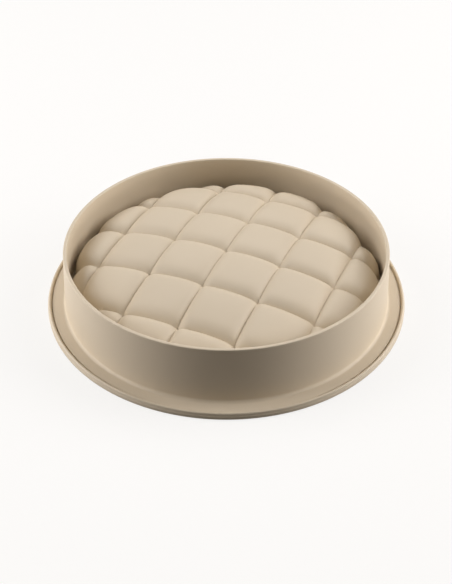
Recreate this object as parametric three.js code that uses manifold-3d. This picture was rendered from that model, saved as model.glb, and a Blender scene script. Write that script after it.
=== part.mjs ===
// Silicone cake mould with a quilted crown, standing on its brim as it is stored and emptied.
// Millimetres, +Z up. The mould's axis is Z, and the brim's underside lies on z = 0.
// The real mould is one moulding. Here each of its zones is a solid of its own, set a small gap apart.

import * as THREE from 'three';
import { mergeVertices } from 'three/addons/utils/BufferGeometryUtils.js';
import Module from 'manifold-3d';

// Ring wall: the cavity's side below the crown, and the ring that the mould stands on when it is filled
const rimRadius = 100;
const ringHeight = 40;
const ringFlare = 2;
const wallThickness = 2.2;
const rimRound = 0.6;
const footFillet = 2;
const toeHeight = 0.3;

// Brim, the bead along its edge and the groove at the bead's foot
const brimReach = 10.9;
const brimThickness = 3;
const mouthRound = 1;
const grooveWidth = 0.8;
const grooveDepth = 1.2;
const beadWidth = 2.25;
const beadHeight = 4.4;
const partingHeight = 2.3;
const partingStep = 0.4;

// Crown: a shallow bow whose shoulder turns down into a crevice beside the ring wall
const crownDrop = 7.2;
const bowRadius = 389;
const shoulderWidth = 23.7;
const shoulderPower = 2.4;
const creviceHeight = 7;
const creviceWidth = 1.2;
const skinThickness = 3;
const webWidth = 20;
const webRoot = 3;

// Quilting: a square grid of pads that roll down to the seams, with a dimple at each crossing
const padPitch = 35.36;
const padTurn = THREE.MathUtils.degToRad(-23.28);
const seamRise = 1.65;
const padFlat = 0.55;
const archPower = 0.7;
const rollHeight = 2.55;
const rollWidth = 7;
const seamRound = 1.4;
const dimpleDepth = 1.3;
const dimpleWidth = 4;

// Quilting at the shoulder: pads roll down to the crevice, and seams soften and turn down sooner than pads
const edgeRollWidth = 18;
const edgeRound = 6;
const notchDepth = 4.5;
const notchWidth = 9;
const notchReach = 13.8;
const notchFull = 2.5;

// Gap between neighbouring solids, and how finely round shapes are drawn
const seatGap = 0.3;
const ringSteps = 96;
const webSteps = 252;
const webRings = 9;
const padSteps = 10;
const arcSteps = 3;

const siliconeColour = 0xd3c3ae;
const siliconeRoughness = 0.6;

// Places that follow from the sizes above
const footTop = brimThickness + footFillet;
const footRadius = rimRadius + ringFlare;
const brimRadius = footRadius + brimReach;
const beadInner = brimRadius - beadWidth;
const ringBottom = brimThickness + seatGap;
const crownCentre = ringHeight - crownDrop;
const crownEdge = innerRadius(creviceHeight) - creviceWidth;
const shoulderStart = crownEdge - shoulderWidth;
const webInner = crownEdge - webWidth;
const rootBottom = creviceHeight - webRoot;

// Outside and inside radius of the drafted ring wall at a height
function outerRadius(z) {
  return rimRadius + ringFlare * (ringHeight - z) / (ringHeight - footTop);
}

function innerRadius(z) {
  return outerRadius(z) - wallThickness;
}

// Crown's height without its quilting, on its outside or a depth below it
function bowHeight(r, depth) {
  const edge = crownEdge - depth;
  const edgeHeight = creviceHeight - webRoot * depth / skinThickness;
  const turnDown = crownCentre - depth - edge * edge / (2 * bowRadius) - edgeHeight;
  const t = THREE.MathUtils.clamp((r - shoulderStart) / (edge - shoulderStart), 0, 1);
  const turn = 1 - Math.pow(1 - Math.pow(t, shoulderPower), 1 / shoulderPower);
  return crownCentre - depth - r * r / (2 * bowRadius) - turnDown * turn;
}

// Nought on a seam and one midway between two seams, with the place counted in pads
function arch(place) {
  return Math.pow(Math.abs(Math.sin(Math.PI * place)), archPower);
}

// Nought at an edge and one from a width on, along a quarter round
function rolled(gap, width) {
  const left = 1 - THREE.MathUtils.clamp(gap / width, 0, 1);
  return Math.sqrt(1 - left * left);
}

// Distance from the nearest seam, with the seam's bottom rounded
function seamGap(place, roundness) {
  const gap = Math.abs(place - Math.round(place)) * padPitch;
  return Math.hypot(gap, roundness) - roundness;
}

// Crown's height with its quilting. The notches that seams cut into the shoulder scallop its edge
function crownHeight(x, y, depth) {
  const u = (x * Math.cos(padTurn) + y * Math.sin(padTurn)) / padPitch;
  const v = (y * Math.cos(padTurn) - x * Math.sin(padTurn)) / padPitch;
  const r = Math.hypot(x, y);
  const edge = crownEdge - depth;
  const nearEdge = THREE.MathUtils.smoothstep(r, edge - notchReach, edge - notchFull);
  const roundness = THREE.MathUtils.lerp(seamRound, edgeRound, nearEdge);
  const gapU = seamGap(u, roundness);
  const gapV = seamGap(v, roundness);
  const arches = seamRise * (arch(u) + arch(v)) - padFlat * arch(u) * arch(v);
  const roll = rollHeight * rolled(gapU, rollWidth) * rolled(gapV, rollWidth);
  const dimple = dimpleDepth * (1 - rolled(Math.hypot(gapU, gapV), dimpleWidth));
  const notch = notchDepth * (1 - rolled(gapU, notchWidth) * rolled(gapV, notchWidth)) * nearEdge;
  const bowed = bowHeight(Math.min(r + notch, edge), depth);
  return bowed + (arches + roll - dimple) * rolled(edge - r, edgeRollWidth);
}

// Points of an arc in the section plane, from one angle to another
function arc(r, z, radius, from, to) {
  const points = [];
  for (let i = 0; i <= arcSteps; i += 1) {
    const angle = from + (to - from) * i / arcSteps;
    points.push(new THREE.Vector2(r + radius * Math.cos(angle), z + radius * Math.sin(angle)));
  }
  return points;
}

// Solid of revolution about Z from a closed section, with the section's points as (radius, height)
function turned(section, steps) {
  const geometry = new THREE.LatheGeometry([...section, section[0].clone()], steps);
  geometry.rotateX(Math.PI / 2);
  return closed(geometry);
}

// One closed skin, whose faces share their corners
function closed(geometry) {
  geometry.deleteAttribute('normal');
  geometry.deleteAttribute('uv');
  return mergeVertices(geometry, 1e-4);
}

const wasm = await Module();
wasm.setup();

function toSolid(geometry) {
  const vertProperties = new Float32Array(geometry.attributes.position.array);
  const triVerts = new Uint32Array(geometry.index.array);
  return new wasm.Manifold(new wasm.Mesh({ numProp: 3, vertProperties, triVerts }));
}

function toGeometry(solid) {
  const mesh = solid.getMesh();
  const geometry = new THREE.BufferGeometry();
  geometry.setAttribute('position', new THREE.BufferAttribute(mesh.vertProperties, 3));
  geometry.setIndex(new THREE.BufferAttribute(mesh.triVerts, 1));
  return geometry;
}

// Ring wall with a rounded rim and a filleted foot that ends in a blunt toe on the brim
function ringWall() {
  const toeAngle = Math.asin(1 - toeHeight / footFillet);
  const filletCentre = footRadius + footFillet;
  const fillet = arc(filletCentre, ringBottom + footFillet, footFillet, Math.PI, Math.PI + toeAngle);
  const toe = fillet[fillet.length - 1];
  const rimInner = innerRadius(ringHeight);
  const section = [
    new THREE.Vector2(innerRadius(ringBottom), ringBottom),
    new THREE.Vector2(toe.x, ringBottom),
    ...fillet.reverse(),
    ...arc(rimRadius - rimRound, ringHeight - rimRound, rimRound, 0, Math.PI / 2),
    ...arc(rimInner + rimRound, ringHeight - rimRound, rimRound, Math.PI / 2, Math.PI),
  ];
  return turned(section, ringSteps);
}

// Flat brim around the cavity's mouth, rounded where a filling is scraped level and grooved beside the bead
function brim() {
  const mouth = innerRadius(ringBottom);
  const grooveFloor = brimThickness - grooveDepth;
  const section = [
    ...arc(mouth + mouthRound, mouthRound, mouthRound, Math.PI, Math.PI * 1.5),
    new THREE.Vector2(beadInner - seatGap, 0),
    new THREE.Vector2(beadInner - seatGap, grooveFloor),
    new THREE.Vector2(beadInner - grooveWidth, grooveFloor),
    new THREE.Vector2(beadInner - grooveWidth, brimThickness),
    new THREE.Vector2(mouth, brimThickness),
  ];
  return turned(section, ringSteps);
}

// Bead with a round top, stepped on its outside where the halves of the tool met
function edgeBead() {
  const topRadius = (beadWidth - partingStep) / 2;
  const section = [
    new THREE.Vector2(beadInner, 0),
    new THREE.Vector2(brimRadius, 0),
    new THREE.Vector2(brimRadius, partingHeight),
    new THREE.Vector2(brimRadius - partingStep, partingHeight),
    ...arc(beadInner + topRadius, beadHeight - topRadius, topRadius, 0, Math.PI),
  ];
  return turned(section, ringSteps);
}

// Web of silicone that turns down from the crown to its root on the ring wall.
// It flexes when the crown is pressed
function crownWeb() {
  const start = webInner + seatGap / 2;
  const crownInside = crownEdge - skinThickness;
  const wallFace = innerRadius(creviceHeight) - seatGap;
  const outside = [];
  const inside = [];
  for (let i = 0; i <= webRings; i += 1) {
    const turn = Math.sin(Math.PI / 2 * i / webRings);
    outside.push(new THREE.Vector2(start + (crownEdge - start) * turn, creviceHeight));
    inside.push(new THREE.Vector2(start + (crownInside - start) * turn, rootBottom));
  }
  const section = [
    ...inside,
    new THREE.Vector2(wallFace, rootBottom),
    new THREE.Vector2(wallFace, creviceHeight),
    ...outside.reverse(),
  ];
  const geometry = turned(section, webSteps);
  const place = geometry.attributes.position;
  for (let i = 0; i < place.count; i += 1) {
    const depth = place.getZ(i) > (creviceHeight + rootBottom) / 2 ? 0 : skinThickness;
    place.setZ(i, crownHeight(place.getX(i), place.getY(i), depth));
  }
  return geometry;
}

// Quilted crown: a sheet whose grid lines follow the seams, cut round
function quiltedCrown() {
  const pads = 2 * Math.ceil(crownEdge / padPitch);
  const cells = pads * padSteps;
  const sheet = closed(new THREE.BoxGeometry(pads, pads, 2, cells, cells, 1));
  const place = sheet.attributes.position;
  const axis = new THREE.Vector3(0, 0, 1);
  const point = new THREE.Vector3();
  for (let i = 0; i < place.count; i += 1) {
    point.set(crowded(place.getX(i)), crowded(place.getY(i)), 0);
    point.multiplyScalar(padPitch).applyAxisAngle(axis, padTurn);
    const depth = place.getZ(i) > 0 ? 0 : skinThickness;
    place.setXYZ(i, point.x, point.y, crownHeight(point.x, point.y, depth));
  }
  const plugRadius = webInner - seatGap / 2;
  const plug = new THREE.CylinderGeometry(plugRadius, plugRadius, 2 * ringHeight, webSteps);
  plug.rotateX(Math.PI / 2);
  const crown = toSolid(sheet).intersect(toSolid(closed(plug)));
  return toGeometry(crown);
}

// Moves a grid line's place, counted in pads, so that lines crowd towards the seams
function crowded(place) {
  const seam = Math.floor(place + 1e-6);
  return seam + (1 - Math.cos(Math.PI * (place - seam))) / 2;
}

function silicone(name, geometry) {
  const material = new THREE.MeshStandardMaterial({
    color: siliconeColour,
    roughness: siliconeRoughness,
    metalness: 0,
    flatShading: true,
  });
  const mesh = new THREE.Mesh(geometry, material);
  mesh.name = name;
  return mesh;
}

const mould = new THREE.Group();
mould.add(
  silicone('ring_wall', ringWall()),
  silicone('brim', brim()),
  silicone('edge_bead', edgeBead()),
  silicone('crown_web', crownWeb()),
  silicone('quilted_crown', quiltedCrown()),
);

export default mould;
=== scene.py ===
import math

import bpy
import numpy as np
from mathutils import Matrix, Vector


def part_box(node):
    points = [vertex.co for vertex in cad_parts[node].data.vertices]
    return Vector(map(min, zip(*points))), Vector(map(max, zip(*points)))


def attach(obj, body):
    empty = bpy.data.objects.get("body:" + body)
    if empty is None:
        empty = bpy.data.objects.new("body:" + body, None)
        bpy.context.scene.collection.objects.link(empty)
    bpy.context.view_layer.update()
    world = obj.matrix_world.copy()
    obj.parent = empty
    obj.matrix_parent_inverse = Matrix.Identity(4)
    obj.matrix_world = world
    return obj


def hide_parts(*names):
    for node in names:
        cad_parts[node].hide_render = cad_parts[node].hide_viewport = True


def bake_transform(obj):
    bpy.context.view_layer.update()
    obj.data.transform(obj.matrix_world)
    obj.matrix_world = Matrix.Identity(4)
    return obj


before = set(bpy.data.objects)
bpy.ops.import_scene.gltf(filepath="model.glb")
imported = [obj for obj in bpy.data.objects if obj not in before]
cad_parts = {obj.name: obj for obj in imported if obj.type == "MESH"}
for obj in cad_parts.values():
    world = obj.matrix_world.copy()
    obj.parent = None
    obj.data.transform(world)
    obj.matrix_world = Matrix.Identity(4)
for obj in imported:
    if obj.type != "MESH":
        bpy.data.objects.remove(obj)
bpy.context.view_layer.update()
mm = 0.001

# Places taken from the frame, in metres
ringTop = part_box("ring_wall")[1].z
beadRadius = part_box("edge_bead")[1].x
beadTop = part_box("edge_bead")[1].z
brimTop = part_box("brim")[1].z
print("frame loaded, ring top at", round(ringTop / mm, 2), "mm")


# Meshes

def arcPoints(r, z, radius, fromDegrees, toDegrees, steps=10):
    angles = np.radians(np.linspace(fromDegrees, toDegrees, steps + 1))
    return [(r + radius * math.cos(a), z + radius * math.sin(a)) for a in angles]


def newPiece(name, verts, faces, sharpDegrees=40):
    mesh = bpy.data.meshes.new(name)
    mesh.from_pydata(verts, [], faces)
    mesh.validate()
    mesh.shade_smooth()
    mesh.set_sharp_from_angle(angle=math.radians(sharpDegrees))
    piece = bpy.data.objects.new(name, mesh)
    bpy.context.scene.collection.objects.link(piece)
    return piece


# A closed section of (radius, height) points, turned about the mould's axis
def turnedPiece(name, section, steps=288):
    angles = np.arange(steps) * 2 * math.pi / steps
    count = len(section)
    verts = [(r * math.cos(a), r * math.sin(a), z) for a in angles for r, z in section]
    faces = []
    for i in range(steps):
        near, far = i * count, (i + 1) % steps * count
        for k in range(count):
            after = (k + 1) % count
            faces.append((near + k, far + k, far + after, near + after))
    return newPiece(name, verts, faces)


# Ring wall: drafted outside and in, with a softly rounded rim and a foot that runs out on the brim
ring = {
    "rimRadius": 100 * mm,
    "flare": 2 * mm,
    "thickness": 2.2 * mm,
    "rimRound": 0.6 * mm,
    "footFillet": 2.0 * mm,
    "footSteps": 14,
    "faceSteps": 14,
}
footTop = brimTop + ring["footFillet"]
footRadius = ring["rimRadius"] + ring["flare"]


def ringOuter(z):
    return ring["rimRadius"] + ring["flare"] * (ringTop - z) / (ringTop - footTop)


def ringInner(z):
    return ringOuter(z) - ring["thickness"]


def facePoints(radiusAt, fromZ, toZ):
    heights = np.linspace(fromZ, toZ, ring["faceSteps"] + 1)[1:-1]
    return [(radiusAt(z), z) for z in heights]


def makeRingWall():
    edge = ring["rimRound"]
    fillet = ring["footFillet"]
    section = [(ringInner(brimTop), brimTop)]
    section += arcPoints(footRadius + fillet, footTop, fillet, 270, 180, ring["footSteps"])
    section += facePoints(ringOuter, footTop, ringTop - edge)
    section += arcPoints(ring["rimRadius"] - edge, ringTop - edge, edge, 0, 90)
    section += arcPoints(ringInner(ringTop) + edge, ringTop - edge, edge, 90, 180)
    section += facePoints(ringInner, ringTop - edge, brimTop)
    return turnedPiece("ring_wall_skin", section)


# Brim: flat above and below, rounded at the cavity's mouth, with a groove along the bead's foot
brim = {
    "mouthRound": 1.0 * mm,
    "grooveWidth": 0.8 * mm,
    "grooveDepth": 1.2 * mm,
    "grooveEdge": 0.15 * mm,
    "edgeSteps": 3,
    "flatSteps": 6,
}
bead = {
    "width": 2.25 * mm,
    "partingHeight": 2.3 * mm,
    "partingStep": 0.4 * mm,
    "partingRound": 0.15 * mm,
    "footRound": 0.3 * mm,
    "footSteps": 5,
    "partingSteps": 4,
    "topSteps": 18,
}
beadInner = beadRadius - bead["width"]


def makeBrim():
    mouth = ringInner(brimTop)
    edge = brim["mouthRound"]
    half = brim["grooveWidth"] / 2
    corner = brim["grooveEdge"]
    flatEnd = beadInner - 2 * half - corner
    section = arcPoints(mouth + edge, edge, edge, 180, 270)
    section += [(r, 0) for r in np.linspace(mouth + edge, beadInner, brim["flatSteps"] + 1)[1:]]
    section += arcPoints(beadInner - half, brimTop - brim["grooveDepth"] + half, half, 0, -180)
    section += arcPoints(flatEnd, brimTop - corner, corner, 0, 90, brim["edgeSteps"])
    section += [(r, brimTop) for r in np.linspace(flatEnd, mouth, brim["flatSteps"] + 1)[1:]]
    return turnedPiece("brim_skin", section)


# Bead: a round-topped lip along the brim, stepped where the halves of the tool met
def makeEdgeBead():
    step = bead["partingStep"]
    topRadius = (bead["width"] - step) / 2
    corner = bead["partingRound"]
    foot = bead["footRound"]
    section = [(beadInner, 0)]
    parting = bead["partingHeight"] - corner
    section += arcPoints(beadRadius - foot, foot, foot, 270, 360, bead["footSteps"])
    section += arcPoints(beadRadius - corner, parting, corner, 0, 90, bead["partingSteps"])
    section += arcPoints(beadInner + topRadius, beadTop - topRadius, topRadius, 0, 180, bead["topSteps"])
    return turnedPiece("edge_bead_skin", section)


# Crown: a shallow bow whose shoulder turns down into a crevice beside the ring wall
crown = {
    "drop": 7.2 * mm,            # centre crossing below the rim, without its dimple
    "bowRadius": 389 * mm,
    "shoulderWidth": 23.7 * mm,
    "shoulderPower": 2.4,        # 2 turns down along an ellipse, more stays level longer
    "creviceHeight": 7 * mm,
    "creviceWidth": 1.2 * mm,
    "skin": 3.0 * mm,
    "webRoot": 3.0 * mm,         # the crevice's floor is this thick
    "rootRound": 0.5 * mm,
    "rootFillet": 0.8 * mm,
    "rootDepth": 0.4 * mm,       # how far the web's root sits in the wall
    "gridMargin": 12 * mm,       # mesh lines follow the seams up to this far from the edge, then circles
    "outsideSteps": 30,
    "insideSteps": 30,
    "roundSteps": 720,
    "edgeRings": 24,
    "firstRing": 0.02,           # share of a quarter turn at which the circles start
    "creviceSteps": 8,
    "rootSteps": 6,
    "sharpDegrees": 35,
}
quilting = {
    "pitch": 35.36 * mm,
    "turn": math.radians(-23.28),
    "seamRise": 1.65 * mm,
    "padFlat": 0.55 * mm,
    "archPower": 0.7,
    "seamSoftness": 0.02,
    "rollHeight": 2.55 * mm,     # each pad's edge rolls down to its seam by this
    "rollWidth": 7.0 * mm,
    "middleSeams": 0.9,          # share of that roll in the middle, where seams are shallower
    "outerSeams": 1.2,           # and towards the edge, where they are deeper
    "middleRadius": 25 * mm,
    "outerRadius": 75 * mm,
    "seamRound": 1.4 * mm,
    "dimpleDepth": 1.3 * mm,     # crossings are pulled in by this
    "dimpleWidth": 4.0 * mm,
    "edgeRound": 6.0 * mm,       # seams soften to this towards the crevice
    "edgeRollWidth": 18.0 * mm,  # the outermost pads roll down to the crevice over this
    "notchDepth": 4.5 * mm,      # seams turn down this much sooner than pads, which scallops the edge
    "notchWidth": 9.0 * mm,
    "notchReach": 13.8 * mm,
    "notchFull": 2.5 * mm,
    "crowding": 0.7,             # how much mesh lines crowd towards the seams
}
crownCentre = ringTop - crown["drop"]
crownEdge = ringInner(crown["creviceHeight"]) - crown["creviceWidth"]
roundAngles = -math.pi + (np.arange(crown["roundSteps"]) + 0.5) * 2 * math.pi / crown["roundSteps"]


def smoothStep(t):
    t = np.clip(t, 0, 1)
    return t * t * (3 - 2 * t)


def bowHeight(r, depth):
    start = crownEdge - crown["shoulderWidth"]
    edge = crownEdge - depth
    edgeHeight = crown["creviceHeight"] - crown["webRoot"] * depth / crown["skin"]
    turnDown = crownCentre - depth - edge ** 2 / (2 * crown["bowRadius"]) - edgeHeight
    t = np.clip((r - start) / (edge - start), 0, 1)
    power = crown["shoulderPower"]
    turned = 1 - (1 - t ** power) ** (1 / power)
    return crownCentre - depth - r ** 2 / (2 * crown["bowRadius"]) - turnDown * turned


def arch(place):
    soft = quilting["seamSoftness"]
    wave = np.sqrt(np.sin(math.pi * place) ** 2 + soft ** 2) - soft
    return (wave / (math.sqrt(1 + soft ** 2) - soft)) ** quilting["archPower"]


# Quarter-round edge of a pad, from 0 at a gap of nothing to 1
def rolled(gap, width):
    left = 1 - np.clip(gap / width, 0, 1)
    return np.sqrt(1 - left ** 2)


# Distance from a seam, with the seam's bottom rounded
def seamGap(place, roundness):
    return np.hypot(np.abs(place - np.round(place)) * quilting["pitch"], roundness) - roundness


def seamShare(r):
    middle, outer = quilting["middleRadius"], quilting["outerRadius"]
    outward = smoothStep((r - middle) / (outer - middle))
    return quilting["middleSeams"] + (quilting["outerSeams"] - quilting["middleSeams"]) * outward


def crownHeight(x, y, depth):
    r = np.hypot(x, y)
    c, s = math.cos(quilting["turn"]), math.sin(quilting["turn"])
    u = (x * c + y * s) / quilting["pitch"]
    v = (y * c - x * s) / quilting["pitch"]
    edge = crownEdge - depth
    reach, full = quilting["notchReach"], quilting["notchFull"]
    nearEdge = smoothStep((r - edge + reach) / (reach - full))
    roundness = quilting["seamRound"] + (quilting["edgeRound"] - quilting["seamRound"]) * nearEdge
    gapU, gapV = seamGap(u, roundness), seamGap(v, roundness)
    rollWidth, notchWidth = quilting["rollWidth"], quilting["notchWidth"]
    relief = quilting["seamRise"] * (arch(u) + arch(v)) - quilting["padFlat"] * arch(u) * arch(v)
    sunk = 1 - rolled(gapU, rollWidth) * rolled(gapV, rollWidth)
    relief += quilting["rollHeight"] * (1 - seamShare(r) * sunk)
    relief -= quilting["dimpleDepth"] * (1 - rolled(np.hypot(gapU, gapV), quilting["dimpleWidth"]))
    notch = quilting["notchDepth"] * (1 - rolled(gapU, notchWidth) * rolled(gapV, notchWidth)) * nearEdge
    bowed = bowHeight(np.minimum(r + notch, edge), depth)
    return bowed + relief * rolled(edge - r, quilting["edgeRollWidth"])


# Places of mesh lines, counted in pads, crowding towards the seams
def seamLines(steps):
    pads = math.ceil(crownEdge / quilting["pitch"])
    place = np.arange(-pads * steps, pads * steps + 1) / steps
    return place - quilting["crowding"] * np.sin(2 * math.pi * place) / (2 * math.pi)


# Faces between two rings of vertices, each sorted by angle
def zipRings(inner, innerAngles, outer, outerAngles):
    faces = []
    i = k = 0
    while i < len(inner) or k < len(outer):
        innerNext = innerAngles[(i + 1) % len(inner)] + (2 * math.pi if i + 1 >= len(inner) else 0)
        outerNext = outerAngles[(k + 1) % len(outer)] + (2 * math.pi if k + 1 >= len(outer) else 0)
        a, b = inner[i % len(inner)], outer[k % len(outer)]
        if k >= len(outer) or (i < len(inner) and innerNext < outerNext):
            faces.append((a, b, inner[(i + 1) % len(inner)]))
            i += 1
        else:
            faces.append((a, b, outer[(k + 1) % len(outer)]))
            k += 1
    return faces


def ringFaces(inner, outer):
    return list(zip(inner, outer, np.roll(outer, -1), np.roll(inner, -1)))


# One skin of the crown, at a depth below its outside: vertices, faces and the ids of its last ring
def crownSkin(depth, steps):
    lines = seamLines(steps)
    edge = crownEdge - depth
    gridRadius = edge - crown["gridMargin"]
    u, v = np.meshgrid(lines, lines, indexing="ij")
    c, s = math.cos(quilting["turn"]), math.sin(quilting["turn"])
    x = quilting["pitch"] * (u * c - v * s)
    y = quilting["pitch"] * (u * s + v * c)
    inside = np.hypot(x, y) < gridRadius
    kept = inside[:-1, :-1] & inside[1:, :-1] & inside[1:, 1:] & inside[:-1, 1:]
    touching = np.zeros(u.shape, int)
    for du in (0, 1):
        for dv in (0, 1):
            touching[du:du + kept.shape[0], dv:dv + kept.shape[1]] += kept
    used = touching > 0
    ids = np.full(u.shape, -1)
    ids[used] = np.arange(used.sum())
    a, b = np.nonzero(kept)
    faces = list(zip(ids[a, b], ids[a + 1, b], ids[a + 1, b + 1], ids[a, b + 1]))
    border = ids[used & (touching < 4)]
    x, y = x[used], y[used]
    verts = list(zip(x, y, crownHeight(x, y, depth)))
    angles = np.arctan2(y[border], x[border])
    order = np.argsort(angles)
    last = border[order]
    # circles closer together where the shoulder turns down
    turns = np.sin(np.linspace(crown["firstRing"], 1, crown["edgeRings"]) * math.pi / 2)
    for k, r in enumerate(gridRadius + (edge - gridRadius) * turns):
        ringX, ringY = r * np.cos(roundAngles), r * np.sin(roundAngles)
        ringIds = len(verts) + np.arange(len(roundAngles))
        verts += list(zip(ringX, ringY, crownHeight(ringX, ringY, depth)))
        faces += ringFaces(last, ringIds) if k else zipRings(last, angles[order], ringIds, roundAngles)
        last = ringIds
    return verts, faces, last


# Section from the crown's edge round the crevice's floor, through the wall and back along the web's foot
def rootSection():
    half = crown["creviceWidth"] / 2
    bottom = crown["creviceHeight"] - crown["webRoot"]
    insideEdge = crownEdge - crown["skin"]
    roundness, fillet = crown["rootRound"], crown["rootFillet"]
    flat = bottom - roundness
    wall = ringInner(flat)
    section = arcPoints(crownEdge + half, crown["creviceHeight"], half, 180, 360, crown["creviceSteps"])[1:]
    section += [(ringInner(z) + crown["rootDepth"], z) for z in (crown["creviceHeight"], flat - fillet)]
    section += arcPoints(wall - fillet, flat - fillet, fillet, 0, 90, crown["rootSteps"])
    section += arcPoints(insideEdge + roundness, bottom, roundness, 270, 180, crown["rootSteps"])[:-1]
    return section


def makeQuiltedCrown():
    verts, faces, last = crownSkin(0, crown["outsideSteps"])
    inVerts, inFaces, inLast = crownSkin(crown["skin"], crown["insideSteps"])
    shift = len(verts)
    faces += [tuple(i + shift for i in reversed(face)) for face in inFaces]
    verts += inVerts
    for r, z in rootSection():
        ringIds = len(verts) + np.arange(len(roundAngles))
        verts += [(r * math.cos(a), r * math.sin(a), z) for a in roundAngles]
        faces += ringFaces(last, ringIds)
        last = ringIds
    faces += ringFaces(last, inLast + shift)
    return newPiece("quilted_crown_skin", verts, faces, crown["sharpDegrees"])


ringWall = makeRingWall()
brimPiece = makeBrim()
edgeBead = makeEdgeBead()
quiltedCrown = makeQuiltedCrown()
pieces = (ringWall, brimPiece, edgeBead, quiltedCrown)
print("meshes made:", [(piece.name, len(piece.data.polygons)) for piece in pieces])


# Material

# sRGB hex to the linear colour that shaders use
def linear(hexColour):
    parts = [int(hexColour[i:i + 2], 16) / 255 for i in (1, 3, 5)]
    return [p / 12.92 if p <= 0.04045 else ((p + 0.055) / 1.055) ** 2.4 for p in parts] + [1]


# Adds a node, sets its properties and inputs, and links inputs given as (node, output)
def addNode(tree, kind, inputs=None, **settings):
    node = tree.nodes.new(kind)
    for name, value in settings.items():
        setattr(node, name, value)
    for name, value in (inputs or {}).items():
        if isinstance(value, tuple):
            tree.links.new(value[0].outputs[value[1]], node.inputs[name])
        else:
            node.inputs[name].default_value = value
    return node


# Platinum-cured silicone, moulded in a spark-eroded tool: opaque, matt to satin, slightly waxy to the eye
silicone = {
    "colour": "#d3c5ad",
    "paler": "#d7cab3",
    "cloudSize": 30 * mm,        # pigment drifts slowly over the moulding
    "cloudDetail": 3.0,
    "grainSize": 0.8 * mm,       # the tool's grain is nearer 0.2 mm, drawn coarser so that it shows
    "grainDetail": 2.0,
    "grainDepth": 0.012 * mm,
    "roughness": 0.52,
    "roughnessSpread": 0.06,
    "ior": 1.41,
}


def makeSilicone():
    material = bpy.data.materials.new("platinum silicone, spark-eroded satin")
    material.use_nodes = True
    tree = material.node_tree
    tree.nodes.clear()
    place = addNode(tree, "ShaderNodeTexCoord")
    clouds = addNode(tree, "ShaderNodeTexNoise", {
        "Vector": (place, "Object"), "Scale": 1 / silicone["cloudSize"],
        "Detail": silicone["cloudDetail"]})
    grain = addNode(tree, "ShaderNodeTexNoise", {
        "Vector": (place, "Object"), "Scale": 1 / silicone["grainSize"],
        "Detail": silicone["grainDetail"]})
    tint = addNode(tree, "ShaderNodeMix", {
        "Factor": (clouds, "Fac"),
        "A": linear(silicone["colour"]),
        "B": linear(silicone["paler"])}, data_type="RGBA")
    gloss = addNode(tree, "ShaderNodeMapRange", {
        "Value": (grain, "Fac"),
        "To Min": silicone["roughness"] - silicone["roughnessSpread"],
        "To Max": silicone["roughness"] + silicone["roughnessSpread"]})
    bump = addNode(tree, "ShaderNodeBump", {
        "Height": (grain, "Fac"), "Distance": silicone["grainDepth"]})
    shader = addNode(tree, "ShaderNodeBsdfPrincipled", {
        "Base Color": (tint, "Result"), "Roughness": (gloss, "Result"), "Normal": (bump, "Normal"),
        "IOR": silicone["ior"]})
    addNode(tree, "ShaderNodeOutputMaterial", {"Surface": (shader, "BSDF")})
    return material


siliconeMaterial = makeSilicone()
replaced = {
    ringWall: ("ring_wall",),
    brimPiece: ("brim",),
    edgeBead: ("edge_bead",),
    quiltedCrown: ("quilted_crown", "crown_web"),
}
for piece, nodes in replaced.items():
    piece.data.materials.append(siliconeMaterial)
    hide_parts(*nodes)
for piece in (ringWall, brimPiece, edgeBead):
    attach(piece, "mould")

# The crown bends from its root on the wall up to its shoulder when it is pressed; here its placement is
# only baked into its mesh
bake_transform(quiltedCrown)
print("material and bodies set")


# Studio

floorLook = {
    "size": 6.0,
    "depth": 0.2 * mm,       # just below the brim, so that the two faces don't share a plane
    "shown": "#fefdfb",
    "bounced": "#6a6158",    # darker than it shows, so that the wall's front keeps its shade
    "glow": 0.8,             # share of the shown colour that holds in the shadow
    "fadeFrom": 0.4,         # from here to there the floor turns into the plain background
    "fadeTo": 1.6,
}
world = {"colour": "#fefdfb", "strength": 0.01}
lampColour = "#fffbfb"
lamps = {
    "highBack": {"place": (0, 0.9, 1.1), "aim": (0, 0, 0), "size": (1.0, 0.7), "watts": 3.9},
    "highLeft": {"place": (-0.98, 0.15, 1.0), "aim": (0, 0, 0), "size": (0.9, 0.7), "watts": 6.9},
    "highRight": {"place": (0.95, 0.35, 1.0), "aim": (0, 0, 0), "size": (0.9, 0.7), "watts": 7.1},
    "sideLeft": {"place": (-1.25, 0, 0.6), "aim": (0, 0, 0.02), "size": (0.9, 0.5), "watts": 6.4},
    "sideRight": {"place": (1.25, 0, 0.6), "aim": (0, 0, 0.02), "size": (0.9, 0.5), "watts": 9.3},
    "lowLeft": {"place": (-0.9, 0.05, 0.06), "aim": (0, 0, 0.03), "size": (0.9, 0.1), "watts": 4.0},
    "lowRight": {"place": (0.9, 0.05, 0.06), "aim": (0, 0, 0.03), "size": (0.9, 0.1), "watts": 3.45},
}
# Distances in metres, and angles from the photograph's perspective
view = {
    "elevation": 38.535,
    "distance": 0.65256,
    "aim": (-0.00020, 0, 0.00068),
    "focalPixels": 1019.6,
    "imageHeight": 584,
    "sensor": 36,
}


# One for rays that show a surface, straight or in a reflection, and nought for light that it bounces
def seenRays(tree):
    rays = addNode(tree, "ShaderNodeLightPath")
    seen = addNode(tree, "ShaderNodeMath", {0: (rays, "Is Camera Ray"), 1: (rays, "Is Glossy Ray")},
                   operation="MAXIMUM")
    return addNode(tree, "ShaderNodeMath", {0: (seen, 0), 1: (rays, "Is Transmission Ray")},
                   operation="MAXIMUM")


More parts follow.
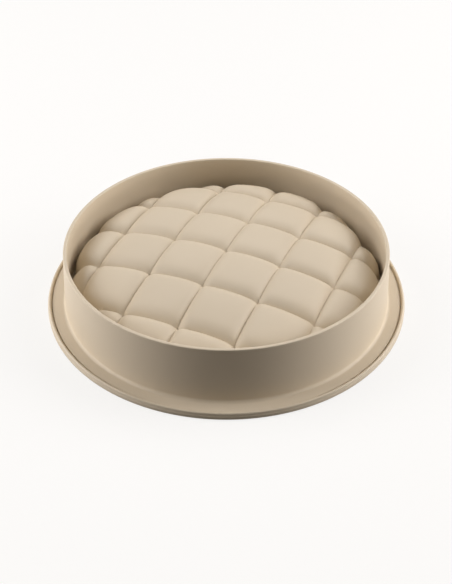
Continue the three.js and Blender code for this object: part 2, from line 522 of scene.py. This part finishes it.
def makeFloor():
    half = floorLook["size"] / 2
    z = -floorLook["depth"]
    corners = [(-half, -half, z), (half, -half, z), (half, half, z), (-half, half, z)]
    floor = newPiece("studio_floor", corners, [(0, 1, 2, 3)])
    material = bpy.data.materials.new("matt paper sweep")
    material.use_nodes = True
    tree = material.node_tree
    tree.nodes.clear()
    bounced = addNode(tree, "ShaderNodeBsdfDiffuse", {"Color": linear(floorLook["bounced"])})
    paper = addNode(tree, "ShaderNodeBsdfDiffuse", {"Color": linear(floorLook["shown"])})
    glow = addNode(tree, "ShaderNodeEmission", {"Color": linear(floorLook["shown"]), "Strength": 1.0})
    place = addNode(tree, "ShaderNodeTexCoord")
    away = addNode(tree, "ShaderNodeVectorMath", {0: (place, "Object")}, operation="LENGTH")
    share = addNode(tree, "ShaderNodeMapRange", {
        "Value": (away, "Value"), "From Min": floorLook["fadeFrom"], "From Max": floorLook["fadeTo"],
        "To Min": floorLook["glow"], "To Max": 1.0})
    shown = addNode(tree, "ShaderNodeMixShader", {0: (share, "Result"), 1: (paper, 0), 2: (glow, 0)})
    mixed = addNode(tree, "ShaderNodeMixShader", {0: (seenRays(tree), 0), 1: (bounced, 0), 2: (shown, 0)})
    addNode(tree, "ShaderNodeOutputMaterial", {"Surface": (mixed, 0)})
    floor.data.materials.append(material)


def makeLamps():
    for name, look in lamps.items():
        lamp = bpy.data.lights.new(name, "AREA")
        lamp.shape = "RECTANGLE"
        lamp.size, lamp.size_y = look["size"]
        lamp.energy = look["watts"]
        lamp.color = linear(lampColour)[:3]
        holder = bpy.data.objects.new(name, lamp)
        holder.location = look["place"]
        towards = Vector(look["aim"]) - Vector(look["place"])
        holder.rotation_euler = towards.to_track_quat("-Z", "Y").to_euler()
        bpy.context.scene.collection.objects.link(holder)


def makeWorld():
    sky = bpy.data.worlds.new("studio")
    bpy.context.scene.world = sky
    sky.use_nodes = True
    tree = sky.node_tree
    tree.nodes.clear()
    soft = addNode(tree, "ShaderNodeBackground", {
        "Color": linear(world["colour"]), "Strength": world["strength"]})
    white = addNode(tree, "ShaderNodeBackground", {"Color": linear(world["colour"]), "Strength": 1.0})
    mixed = addNode(tree, "ShaderNodeMixShader", {0: (seenRays(tree), 0), 1: (soft, 0), 2: (white, 0)})
    addNode(tree, "ShaderNodeOutputWorld", {"Surface": (mixed, 0)})


def makeCamera():
    camera = bpy.data.cameras.new("photograph")
    camera.sensor_fit = "VERTICAL"
    camera.sensor_height = view["sensor"]
    camera.lens = view["focalPixels"] * view["sensor"] / view["imageHeight"]
    holder = bpy.data.objects.new("photograph", camera)
    angle = math.radians(view["elevation"])
    back = Vector((0, -math.cos(angle), math.sin(angle)))
    holder.location = Vector(view["aim"]) + back * view["distance"]
    holder.rotation_euler = (-back).to_track_quat("-Z", "Y").to_euler()
    bpy.context.scene.collection.objects.link(holder)
    bpy.context.scene.camera = holder


makeFloor()
makeLamps()
makeWorld()
makeCamera()
bpy.context.scene.view_settings.view_transform = "Standard"
print("studio set")
